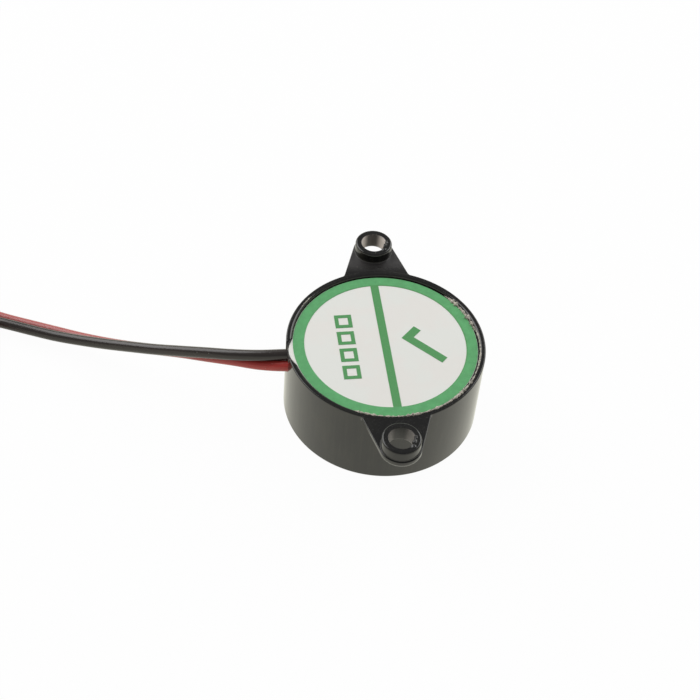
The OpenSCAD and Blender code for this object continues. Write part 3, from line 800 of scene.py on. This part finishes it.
class BUZZER_OT_lead_tips(bpy.types.Operator):
    """Builds the bare twisted ends of both leads"""

    bl_idname = "buzzer.lead_tips"
    bl_label = "Lead Tips"

    def execute(self, context):
        sizes = context.scene.buzzer_leads
        material = metal("tinned_strands", context.scene.buzzer_colours.tin, 0.34, (1.0, 1.0, 1.0))
        for name, radius, leave_angle in (
            ("black_lead_tip", sizes.coil_r, sizes.black_tip_angle),
            ("red_lead_tip", sizes.coil_r + sizes.coil_pitch, sizes.red_tip_angle),
        ):
            made = self.add_strands(name + "_strands", radius, leave_angle, sizes)
            finish_piece(made, material)
            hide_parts(name)
        return {"FINISHED"}

    def add_strands(self, name, radius, leave_angle, sizes):
        """Six strands twisted round one, from the end of the insulation."""
        strand_r = sizes.conductor_d / 6
        along = spoke(leave_angle + math.pi / 2)
        side = spoke(leave_angle)
        up = Vector((0, 0, 1))
        high = sizes.tie_t + sizes.coil_climb + sizes.diameter / 2
        off_l = math.sqrt((COIL_HIGH.x - COIL_MIDDLE.x) ** 2 - radius**2)
        start = coil_point(radius, leave_angle, high) + along * off_l
        sunk, pinch_start, pinched_by = 0.3 * MM, 0.85, 0.25
        steps, sides, twist = 36, 8, math.radians(430)
        vertices = []
        faces = []
        for strand in range(7):
            strand_start = len(vertices)
            for i in range(steps + 1):
                share = i / steps
                pinch = 1.0 - pinched_by * ease((share - pinch_start) / (1.0 - pinch_start))
                round_by = strand * math.pi / 3 + twist * share
                offset = 2 * strand_r * pinch * (1 if strand < 6 else 0)
                middle = start + along * (share * (sizes.tip_l + sunk) - sunk)
                middle = middle + offset * (math.cos(round_by) * side + math.sin(round_by) * up)
                for k in range(sides):
                    a = 2 * math.pi * k / sides
                    vertices.append(middle + strand_r * (math.cos(a) * side + math.sin(a) * up))
            for i in range(steps):
                low = strand_start + i * sides
                faces += band_faces(low, low + sides, sides)
            faces.append(tuple(reversed(range(strand_start, strand_start + sides))))
            faces.append(tuple(range(len(vertices) - sides, len(vertices))))
        made = piece(name, vertices, faces)
        smooth(made, 50)
        return made


class BUZZER_OT_coil_band(bpy.types.Operator):
    """Builds the band that ties the stored coil"""

    bl_idname = "buzzer.coil_band"
    bl_label = "Coil Band"

    def execute(self, context):
        sizes = context.scene.buzzer_leads
        lead_r = sizes.diameter / 2
        low, high = sizes.tie_t, sizes.tie_t + sizes.diameter + sizes.coil_climb
        near, far = sizes.coil_r - lead_r, sizes.coil_r + sizes.coil_pitch + lead_r
        corners = (
            ((far - lead_r, high - lead_r), 0),
            ((near + lead_r, high - lead_r), 90),
            ((near + lead_r, low + lead_r), 180),
            ((far - lead_r, low + lead_r), 270),
        )
        out = spoke(sizes.tie_angle)
        along = spoke(sizes.tie_angle + math.pi / 2)
        up = Vector((0, 0, 1))
        base = Vector((COIL_MIDDLE.x, COIL_MIDDLE.y, 0))
        edge_r = sizes.tie_t * 0.35
        half = sizes.tie_w / 2
        section = [
            *arc((half - edge_r, sizes.tie_t - edge_r), edge_r, 0, math.pi / 2, 4),
            *arc((edge_r - half, sizes.tie_t - edge_r), edge_r, math.pi / 2, math.pi, 4),
            (-half, 0),
            (half, 0),
        ]
        rings = []
        for middle, turn in corners:
            for i in range(9):
                a = math.radians(turn + 90 * i / 8)
                away = math.cos(a) * out + math.sin(a) * up
                foot = base + middle[0] * out + middle[1] * up + lead_r * away
                rings.append([foot + across * along + rise * away for across, rise in section])
        made = skin("coil_band", rings, wrap=True)
        smooth(made, 40)
        material = mineral("tie_plastic", context.scene.buzzer_colours.tie, 0.4, 3.0, 0.01 * MM)
        finish_piece(made, material)
        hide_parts("coil_tie")
        return {"FINISHED"}


class BUZZER_OT_leads(bpy.types.Operator):
    """Lays the black and the red lead, from the resin to their free ends"""

    bl_idname = "buzzer.leads"
    bl_label = "Leads"

    def execute(self, context):
        sizes = context.scene.buzzer_leads
        colours = context.scene.buzzer_colours
        black_place, red_place = lead_places(sizes)
        black_line = lead_path(black_place, BLACK_ROUTE, sizes.coil_r, sizes.black_tip_angle, sizes)
        red_r = sizes.coil_r + sizes.coil_pitch
        red_line = lead_path(red_place, RED_ROUTE, red_r, sizes.red_tip_angle, sizes)
        black = cord_piece("black_lead_cord", black_line, sizes.diameter)
        red = cord_piece("red_lead_cord", red_line, sizes.diameter)
        finish_piece(black, insulation("black_insulation", colours.black_lead))
        finish_piece(red, insulation("red_insulation", colours.red_lead, colours.red_painted_sheen))
        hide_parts("black_lead", "lead_coil")
        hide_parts("red_lead", "lead_coil")
        return {"FINISHED"}


class BUZZER_OT_housing(bpy.types.Operator):
    """Builds the moulded housing with its ears, bosses, holes and lead slot"""

    bl_idname = "buzzer.housing"
    bl_label = "Housing"

    def execute(self, context):
        sizes = context.scene.buzzer_housing
        made = skin("housing_shell", turned(self.cup_profile(sizes), sizes.turn_steps), wrap=True)
        for side in (1, -1):
            combine(made, self.ear(sizes, side), "UNION")
            combine(made, self.boss(sizes, side), "UNION")
        for side in (1, -1):
            combine(made, self.hole(sizes, side), "DIFFERENCE")
        combine(made, self.slot(sizes, context.scene.buzzer_leads), "DIFFERENCE")
        combine(made, self.flare(sizes, context.scene.buzzer_leads), "DIFFERENCE")
        smooth(made)
        finish_piece(made, housing_plastic(context.scene.buzzer_colours))
        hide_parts("housing")
        return {"FINISHED"}

    def cup_profile(self, sizes):
        """Section of the cup, as radius and height, from the sound hole round to it again."""
        foot, rim, bore, quarter = sizes.foot_round, sizes.rim_round, sizes.bore_round, math.pi / 2
        port, port_round = sizes.sound_hole_r, 0.15 * MM
        return [
            *arc((port + port_round, port_round), port_round, -2 * quarter, -quarter, 4),
            *arc((BODY_R - foot, foot), foot, -quarter, 0, 8),
            *arc((BODY_R - rim, sizes.body_h - rim), rim, 0, quarter, 8),
            *arc((RIM_BORE_R + bore, sizes.body_h - bore), bore, quarter, 2 * quarter, 6),
            (RIM_BORE_R, BOARD_Z),
            (DIAPHRAGM_BORE_R, BOARD_Z),
            (DIAPHRAGM_BORE_R, LEDGE_Z),
            (sizes.chamber_r, LEDGE_Z),
            (sizes.chamber_r, sizes.face_t),
            *arc((port + port_round, sizes.face_t - port_round), port_round, quarter, 2 * quarter, 4),
        ]

    def ear_outline(self, sizes):
        """Plan of the +Y ear: its free edge and its root inside the rim."""
        slant, fillet = sizes.ear_slant, sizes.ear_fillet
        sunk_r = BODY_R - 0.03 * MM
        root_r = RIM_BORE_R + sizes.bore_round + 0.03 * MM
        out = Vector((math.cos(slant), math.sin(slant)))
        along = Vector((-math.sin(slant), math.cos(slant)))
        reach = HOLE_Y * math.sin(slant) + EAR_TIP_R + fillet
        run = math.sqrt((sunk_r + fillet) ** 2 - reach**2)
        middle = reach * out + run * along
        body_turn = math.atan2(-middle.y, -middle.x)
        flank_turn = math.atan2(-out.y, -out.x)
        right = arc(middle, fillet, body_turn, flank_turn, 8)
        tip = arc((0, HOLE_Y), EAR_TIP_R, slant, math.pi - slant, 40)
        left = [(-x, y) for x, y in reversed(right)]
        spread = math.atan2(middle.y, middle.x)
        root = arc((0, 0), root_r, math.pi - spread, spread, 24)
        return [[Vector(point) for point in line] for line in ([*right, *tip, *left], root)]

    def ear(self, sizes, side):
        """One ear: its plan, raised with rounded edges."""
        free, root = self.ear_outline(sizes)
        inward = []
        for i, point in enumerate(free):
            before = (point - free[max(i - 1, 0)]).normalized()
            after = (free[min(i + 1, len(free) - 1)] - point).normalized()
            inward.append(Vector((-before.y - after.y, before.x + after.x)).normalized())
        clear = free[0].length - root[0].length - 0.05 * MM
        low, high = sizes.body_h - sizes.ear_t, sizes.body_h - sizes.ear_sink
        steps = 8
        mirrored = upper_edge(sizes.ear_under_round, 0.0, steps)
        rows = [(inset, low - z) for inset, z in reversed(mirrored)]
        rows += upper_edge(sizes.ear_round, high, steps)
        rings = []
        for inset, z in rows:
            plan = [point + normal * inset for point, normal in zip(free, inward)]
            plan += [point - point.normalized() * max(0.0, inset - clear) for point in root]
            rings.append([Vector((side * point.x, side * point.y, z)) for point in plan])
        return skin("ear", rings)

    def boss(self, sizes, side):
        """One boss, still without its hole."""
        foot, edge, sunk = sizes.boss_foot, sizes.boss_round, 0.02 * MM
        base = sizes.body_h - sizes.ear_sink - sunk
        quarter = math.pi / 2
        profile = [
            (sizes.boss_r + foot, base - 0.3 * MM),
            *reversed(arc((sizes.boss_r + foot, base + foot), foot, 2 * quarter, 3 * quarter, 5)),
            *arc((sizes.boss_r - edge, BOSS_TOP - edge), edge, 0, quarter, 6),
        ]
        return skin("boss", turned(profile, 96, side * HOLE_Y))

    def hole(self, sizes, side):
        """What is cut out of one ear and boss, with the rounding of both edges."""
        soft, under, past = sizes.hole_round, sizes.hole_under_round, 0.01 * MM
        low, high = sizes.body_h - sizes.ear_t - past, BOSS_TOP + past
        quarter, clear = math.pi / 2, 1 * MM
        profile = [
            (HOLE_R + under, low - clear),
            *arc((HOLE_R + under, low + under), under, 3 * quarter, 2 * quarter, 8),
            *arc((HOLE_R + soft, high - soft), soft, 2 * quarter, quarter, 5),
            (HOLE_R + soft, high + clear),
        ]
        return skin("hole", turned(profile, 96, side * HOLE_Y))

    def slot(self, sizes, leads):
        """What is cut out of the rim for the leads: it follows both of them and has a rounded mouth."""
        half, mouth, quarter = sizes.slot_w / 2, sizes.slot_mouth, math.pi / 2
        black, red = lead_places(leads)
        step = red.x + half - black.x
        meet = -math.acos(step / half)
        top, clear = sizes.body_h, 1 * MM
        low_side, high_side = red.x - half - mouth, black.x + half + mouth
        outline = [
            *arc(red, half, -2 * quarter, 0, 24),
            *arc(black, half, meet, 0, 14),
            *arc((high_side, top - mouth), mouth, 2 * quarter, quarter, 10),
            (high_side, top + clear),
            (low_side, top + clear),
            *arc((low_side, top - mouth), mouth, quarter, 0, 10),
        ]
        depths = (-BODY_R - clear, 0.8 * MM - RIM_BORE_R)
        return skin("slot", [[Vector((x, y, z)) for y, z in outline] for x in depths])

    def flare(self, sizes, leads):
        """What is cut off the slot's corners above the resin, so that it widens towards the label."""
        half, clear = sizes.slot_w / 2, 1 * MM
        black, red = lead_places(leads)
        inner_x = clear - RIM_BORE_R
        widened = sizes.slot_flare * (inner_x + BODY_R) / (BODY_R - RIM_BORE_R)
        plan = [
            (-BODY_R, red.x - half),
            (inner_x, red.x - half - widened),
            (inner_x, black.x + half + widened),
            (-BODY_R, black.x + half),
        ]
        heights = (LABEL_Z - 0.02 * MM, sizes.body_h + clear)
        return skin("flare", [[Vector((x, y, z)) for x, y in plan] for z in heights])


class BUZZER_OT_label(bpy.types.Operator):
    """Builds the paper label with its cut edge and its tab in the lead slot"""

    bl_idname = "buzzer.label"
    bl_label = "Label"

    def execute(self, context):
        sizes = context.scene.buzzer_label
        steps = 360
        turns = [2 * math.pi * k / steps for k in range(steps)]
        rows = [(0.0, LABEL_Z), *upper_edge(sizes.edge_round, LABEL_TOP, 5)]
        rings = []
        for inset, height in rows:
            rings.append([self.edge_point(sizes, turn, inset, height) for turn in turns])
        middle = LABEL_MIDDLE + Vector((0, 0, LABEL_TOP))
        edge = rings[-1]
        for share in (0.97, 0.9, 0.75, 0.5, 0.2):
            rings.append([middle.lerp(point, share) for point in edge])
        made = skin("label_disc", rings)
        smooth(made, 50)
        finish_piece(made, label_paper(context.scene.buzzer_colours))
        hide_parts("label_sheet")
        return {"FINISHED"}

    def edge_point(self, sizes, turn, inset, height):
        """Point near the label's edge, pushed out where the tab is."""
        across = LABEL_MIDDLE.y + LABEL_R * math.sin(turn) - sizes.tab_y
        push = 0.0
        if math.cos(turn) < 0 and abs(across) < sizes.tab_half:
            push = sizes.tab * math.cos(math.pi / 2 * across / sizes.tab_half)
        radius = LABEL_R + push - inset
        return LABEL_MIDDLE + radius * spoke(turn) + Vector((0, 0, height))


class BUZZER_OT_label_print(bpy.types.Operator):
    """Builds the printed ring and bar with a tick and a row of small boxes"""

    bl_idname = "buzzer.label_print"
    bl_label = "Label Print"

    def execute(self, context):
        sizes = context.scene.buzzer_label
        curve = bpy.data.curves.new("label_ink", "CURVE")
        curve.dimensions = "2D"
        curve.fill_mode = "BOTH"
        thick = INK_TOP - LABEL_TOP
        curve.extrude = thick / 2
        for outline in self.outlines(sizes):
            line = curve.splines.new("POLY")
            line.points.add(len(outline) - 1)
            for knot, (x, y) in zip(line.points, outline):
                knot.co = (x, y, 0.0, 1.0)
            line.use_cyclic_u = True
        flat = placed("flat_ink", curve)
        mesh = final_mesh(flat)
        bpy.data.curves.remove(curve)
        turn = Matrix.Rotation(sizes.print_turn - math.pi / 2, 4, "Z")
        mesh.transform(Matrix.Translation(LABEL_MIDDLE + Vector((0, 0, LABEL_TOP + thick / 2))) @ turn)
        made = placed("label_ink", mesh)
        finish_piece(made, green_ink(context.scene.buzzer_colours))
        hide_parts("label_print")
        return {"FINISHED"}

    def outlines(self, sizes):
        """Closed outlines of the print: the bar runs along X and the marks stand on either side of it."""
        outer = LABEL_R - sizes.ring_margin
        inner = outer - sizes.ring_w
        half = sizes.bar_w / 2
        lean = math.asin(half / inner)
        found = [arc((0, 0), outer, 0, 2 * math.pi, 256)[:-1]]
        found.append(arc((0, 0), inner, lean, math.pi - lean, 128))
        found.append(arc((0, 0), inner, math.pi + lean, 2 * math.pi - lean, 128))
        found.append(self.tick(sizes))
        for i in range(4):
            x = (i - 1.5) * sizes.box_pitch
            for side in (sizes.box_side, sizes.box_side - 2 * sizes.box_stroke):
                found.append(self.box(x, -sizes.mark_rise, side / 2))
        return found

    def box(self, x, y, half):
        return [(x - half, y - half), (x + half, y - half), (x + half, y + half), (x - half, y + half)]

    def tick(self, sizes):
        """A tick with square ends, about its own middle."""
        tall, reach = sizes.tick_h, sizes.tick_stroke * math.sqrt(2)
        foot = tall / 2 - reach / 2
        corners = [
            (0, 0), (tall - reach / 2, tall - reach / 2), (tall - reach, tall),
            (0, reach), (reach / 2 - foot, foot + reach / 2), (-foot, foot),
        ]
        return [(x - foot / 2, y - tall / 2 + sizes.mark_rise) for x, y in corners]


class BUZZER_OT_resin(bpy.types.Operator):
    """Gives the potting resin its finish"""

    bl_idname = "buzzer.resin"
    bl_label = "Resin"

    def execute(self, context):
        set_finish("potting_resin", potting(context.scene.buzzer_colours))
        return {"FINISHED"}


class BUZZER_OT_wear(bpy.types.Operator):
    """Adds the dried resin on the rim and the moulding flash at the ears' holes"""

    bl_idname = "buzzer.wear"
    bl_label = "Wear"

    def execute(self, context):
        colours = context.scene.buzzer_colours
        residue = dried_residue(colours)
        for name, start, end, start_r, end_r, thickness, seed in (
            ("rim_residue_right", 8, 44, 10.76, 10.74, 0.36, 1.7),
            ("rim_residue_side", -32, 12, 10.93, 10.84, 0.15, 6.4),
            ("rim_residue_front", -76, -27, 10.97, 10.97, 0.25, 4.2),
            ("rim_residue_ear", -116, -72, 10.93, 10.97, 0.22, 3.1),
            ("rim_residue_back", 136, 148, 11.02, 11.02, 0.09, 8.6),
        ):
            line = self.rim_line(context.scene.buzzer_housing, start, end, start_r * MM, end_r * MM)
            finish_piece(bead(name, line, thickness * MM, seed), residue)
        flash = lumps("hole_flash", self.flash_places())
        finish_piece(flash, bpy.data.materials["housing_plastic"])
        return {"FINISHED"}

    def rim_line(self, sizes, start, end, start_r, end_r):
        """Points along the rim's inner edge, half a degree apart."""
        soft = sizes.bore_round
        steps = 2 * (end - start)
        line = []
        for i in range(steps + 1):
            a = math.radians(start + (end - start) * i / steps)
            radius = start_r + (end_r - start_r) * i / steps
            from_top = min(soft, max(0.0, RIM_BORE_R + soft - radius))
            height = sizes.body_h - soft + math.sqrt(soft**2 - from_top**2)
            line.append(radius * spoke(a) + Vector((0, 0, height)))
        return line

    def flash_places(self):
        """Lumps at the edge of each ear's hole."""
        sunk = 0.06 * MM
        places = []
        for side in (1, -1):
            hole = Vector((0, side * HOLE_Y, BOSS_TOP - sunk))
            for turn, out, size, seed in (
                (0, 0.12, (0.22, 0.32, 0.12), 0.4),
                (-24, 0.0, (0.26, 0.36, 0.2), 2.1),
                (-46, 0.2, (0.3, 0.34, 0.14), 5.3),
            ):
                a = math.radians(turn)
                middle = hole + (HOLE_R + out * MM) * spoke(a)
                places.append((middle, [part * MM for part in size], a, seed + side))
        return places


class BUZZER_OT_inside(bpy.types.Operator):
    """Gives the pieces inside the housing their finishes"""

    bl_idname = "buzzer.inside"
    bl_label = "Inside"

    def execute(self, context):
        colours = context.scene.buzzer_colours
        finishes = (
            (metal("brass_plate", colours.brass, 0.3, (1.0, 12.0, 1.0)), ("brass_diaphragm",)),
            (mineral("piezo_ceramic", colours.ceramic, 0.6, 5.0, 0.008 * MM), ("ceramic_disc",)),
            (
                metal("silver_film", colours.silver, 0.45, (2.0, 2.0, 2.0)),
                ("main_electrode", "feedback_electrode"),
            ),
            (mineral("clear_adhesive", colours.adhesive, 0.3, 1.5, 0.02 * MM), ("diaphragm_adhesive",)),
            (mineral("board_laminate", colours.board, 0.55, 4.0, 0.01 * MM), ("circuit_board",)),
            (
                metal("copper_foil", colours.copper, 0.4, (3.0, 3.0, 3.0)),
                ("component_pads", "wire_pads", "lead_pads"),
            ),
            (
                mineral("chip_black", colours.chip, 0.55, 6.0, 0.01 * MM),
                ("transistor_body", "resistor_chips", "diode_body"),
            ),
            (
                metal("tinned_metal", colours.tin, 0.36, (1.5, 1.5, 1.5)),
                ("transistor_legs", "resistor_end_caps", "diode_legs", "board_wire_joints",
                 "piezo_wire_joints", "lead_joints", "lead_inner_ends"),
            ),
            (insulation("plate_wire_red", colours.red_lead), ("plate_wire",)),
            (insulation("main_wire_black", colours.black_lead), ("main_wire",)),
            (insulation("feedback_wire_blue", colours.blue_wire), ("feedback_wire",)),
        )
        for material, nodes in finishes:
            for node in nodes:
                set_finish(node, material)
        return {"FINISHED"}


def set_finish(node, material):
    """Gives a solid of the frame its finish."""
    slots = frame["nodes"][node].data.materials
    slots.clear()
    slots.append(material)


class BUZZER_PT_panel(bpy.types.Panel):
    """Lists what builds the buzzer"""

    bl_label = "Piezo Buzzer"
    bl_idname = "BUZZER_PT_panel"
    bl_space_type = "VIEW_3D"
    bl_region_type = "UI"
    bl_category = "Buzzer"

    def draw(self, context):
        for operator in OPERATORS:
            self.layout.operator(operator.bl_idname)


GROUPS = {
    "buzzer_housing": BuzzerHousingSizes,
    "buzzer_label": BuzzerLabelSizes,
    "buzzer_leads": BuzzerLeadSizes,
    "buzzer_colours": BuzzerColours,
    "buzzer_stage": BuzzerStage,
}
OPERATORS = (
    BUZZER_OT_stage,
    BUZZER_OT_lead_tips,
    BUZZER_OT_coil_band,
    BUZZER_OT_leads,
    BUZZER_OT_housing,
    BUZZER_OT_label,
    BUZZER_OT_label_print,
    BUZZER_OT_resin,
    BUZZER_OT_wear,
    BUZZER_OT_inside,
)


def register():
    for name, group in GROUPS.items():
        bpy.utils.register_class(group)
        setattr(bpy.types.Scene, name, PointerProperty(type=group))
    for operator in OPERATORS:
        bpy.utils.register_class(operator)
    bpy.utils.register_class(BUZZER_PT_panel)


def unregister():
    bpy.utils.unregister_class(BUZZER_PT_panel)
    for operator in reversed(OPERATORS):
        bpy.utils.unregister_class(operator)
    for name, group in reversed(GROUPS.items()):
        delattr(bpy.types.Scene, name)
        bpy.utils.unregister_class(group)


def main():
    register()
    bpy.ops.buzzer.stage()
    bpy.ops.buzzer.lead_tips()
    bpy.ops.buzzer.coil_band()
    bpy.ops.buzzer.leads()
    bpy.ops.buzzer.housing()
    bpy.ops.buzzer.label()
    bpy.ops.buzzer.label_print()
    bpy.ops.buzzer.resin()
    bpy.ops.buzzer.wear()
    bpy.ops.buzzer.inside()


if __name__ == "__main__":
    main()
